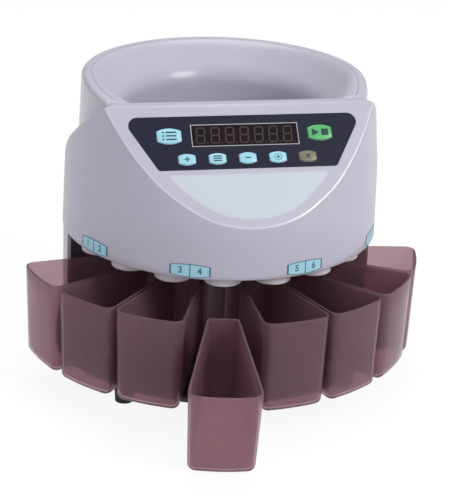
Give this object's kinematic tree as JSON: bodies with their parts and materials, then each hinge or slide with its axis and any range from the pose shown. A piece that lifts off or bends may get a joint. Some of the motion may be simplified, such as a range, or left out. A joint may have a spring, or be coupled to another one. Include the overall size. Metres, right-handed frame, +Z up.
{
  "type": "coin counting machine",
  "caption": "Counter-top coin counter: round case with a D-shaped hopper, a sloping key panel, sorting tubes and a ring of translucent pull-out drawers.",
  "frame": {"origin": "centre of the bounding box at the level of the feet's undersides, which is the surface that the machine stands on", "axes": "+Z up, -Y towards the user at the key panel, +X to the user's right"},
  "size_m": [0.3592, 0.4125, 0.268],
  "materials": {
    "case_grey": "fine texture",
    "tube_grey": "smooth",
    "smoke": "translucent",
    "black_plastic": "fine texture",
    "rubber": "matt",
    "overlay": "printed film",
    "lens": "tinted",
    "key_cyan": "satin",
    "key_green": "satin",
    "key_olive": "satin",
    "label": "printed film",
    "board": "solder mask",
    "steel": "brushed",
    "zinc": "plated",
    "dark_plastic": "smooth",
    "gear_plastic": "moulded",
    "brass": "machined",
    "iron": "varnished"
  },
  "bodies": {
    "machine": {"base_plate": "black_plastic", "feet": "rubber", "foot_screws": "zinc", "core_column": "black_plastic", "rear_housing": "case_grey", "case_shell": "case_grey", "hopper_collar": "case_grey", "hopper_bowl": "case_grey", "panel_overlay": "overlay", "display_window": "lens", "display_module": "black_plastic", "control_board": "board", "key_switches": "black_plastic", "board_screws": "zinc", "drawer_labels": "label", "deck_plate": "zinc", "deck_screws": "zinc", "sorting_ring": "steel", "gate_plates": "steel", "track_rail": "steel", "coin_tube_1": "tube_grey", "coin_tube_2": "tube_grey", "coin_tube_3": "tube_grey", "coin_tube_4": "tube_grey", "coin_tube_5": "tube_grey", "coin_tube_6": "tube_grey", "coin_tube_7": "tube_grey", "coin_tube_8": "tube_grey", "coin_sensors": "black_plastic", "main_bearings": "steel", "motor_bracket": "zinc", "motor": "zinc", "motor_screws": "zinc", "transformer": "iron", "power_board": "board", "power_inlet": "black_plastic", "rocker_frame": "black_plastic"},
    "turntable_unit": {"turntable": "dark_plastic", "centre_cap": "dark_plastic", "turntable_shaft": "steel", "drive_gear": "gear_plastic"},
    "pinion": {"motor_pinion": "brass"},
    "rocker": {"rocker_switch": "black_plastic"},
    "start_key": {"start_key": "key_green"},
    "report_key": {"report_key": "key_cyan"},
    "add_key": {"add_key": "key_cyan"},
    "batch_key": {"batch_key": "key_cyan"},
    "minus_key": {"minus_key": "key_cyan"},
    "set_key": {"set_key": "key_cyan"},
    "clear_key": {"clear_key": "key_olive"},
    "drawer_1": {"drawer_1": "smoke"},
    "drawer_2": {"drawer_2": "smoke"},
    "drawer_3": {"drawer_3": "smoke"},
    "drawer_4": {"drawer_4": "smoke"},
    "drawer_5": {"drawer_5": "smoke"},
    "drawer_6": {"drawer_6": "smoke"},
    "drawer_7": {"drawer_7": "smoke"},
    "drawer_8": {"drawer_8": "smoke"}
  },
  "joints": [
    {"name": "drawer_1_slide", "type": "slide", "parent": "machine", "child": "drawer_1", "axis": [-0.9497, -0.3132, 0], "range_m": [0, 0.1]},
    {"name": "drawer_2_slide", "type": "slide", "parent": "machine", "child": "drawer_2", "axis": [-0.7799, -0.6259, 0], "range_m": [0, 0.1]},
    {"name": "drawer_3_slide", "type": "slide", "parent": "machine", "child": "drawer_3", "axis": [-0.5113, -0.8594, 0], "range_m": [0, 0.1]},
    {"name": "drawer_4_slide", "type": "slide", "parent": "machine", "child": "drawer_4", "axis": [-0.1728, -0.9555, -0.2389], "range_m": [-0.055, 0]},
    {"name": "drawer_5_slide", "type": "slide", "parent": "machine", "child": "drawer_5", "axis": [0.1779, -0.984, 0], "range_m": [0, 0.1]},
    {"name": "drawer_6_slide", "type": "slide", "parent": "machine", "child": "drawer_6", "axis": [0.5113, -0.8594, 0], "range_m": [0, 0.1]},
    {"name": "drawer_7_slide", "type": "slide", "parent": "machine", "child": "drawer_7", "axis": [0.7799, -0.6259, 0], "range_m": [0, 0.1]},
    {"name": "drawer_8_slide", "type": "slide", "parent": "machine", "child": "drawer_8", "axis": [0.9497, -0.3132, 0], "range_m": [0, 0.1]},
    {"name": "start_key_press", "type": "slide", "parent": "machine", "child": "start_key", "axis": [0, 0.7455, -0.6665], "range_m": [0, 0.0007], "stiffness_N_per_m": 400},
    {"name": "report_key_press", "type": "slide", "parent": "machine", "child": "report_key", "axis": [0, 0.7455, -0.6665], "range_m": [0, 0.0007], "stiffness_N_per_m": 400},
    {"name": "add_key_press", "type": "slide", "parent": "machine", "child": "add_key", "axis": [0, 0.7455, -0.6665], "range_m": [0, 0.0007], "stiffness_N_per_m": 400},
    {"name": "batch_key_press", "type": "slide", "parent": "machine", "child": "batch_key", "axis": [0, 0.7455, -0.6665], "range_m": [0, 0.0007], "stiffness_N_per_m": 400},
    {"name": "minus_key_press", "type": "slide", "parent": "machine", "child": "minus_key", "axis": [0, 0.7455, -0.6665], "range_m": [0, 0.0007], "stiffness_N_per_m": 400},
    {"name": "set_key_press", "type": "slide", "parent": "machine", "child": "set_key", "axis": [0, 0.7455, -0.6665], "range_m": [0, 0.0007], "stiffness_N_per_m": 400},
    {"name": "clear_key_press", "type": "slide", "parent": "machine", "child": "clear_key", "axis": [0, 0.7455, -0.6665], "range_m": [0, 0.0007], "stiffness_N_per_m": 400},
    {"name": "turntable_spin", "type": "hinge", "parent": "machine", "child": "turntable_unit", "pos_m": [0, 0.05883, 0.15], "axis": [0, 0, 1], "continuous": true},
    {"name": "pinion_spin", "type": "hinge", "parent": "machine", "child": "pinion", "pos_m": [0, 0.09883, 0.135], "axis": [0, 0, 1], "continuous": true},
    {"name": "rocker_tilt", "type": "hinge", "parent": "machine", "child": "rocker", "pos_m": [-0.019, 0.19333, 0.054], "axis": [1, 0, 0], "range_deg": [-16, 0]}
  ],
  "couplings": [
    {"joint": "pinion_spin", "follows": "turntable_spin", "ratio": -3}
  ]
}
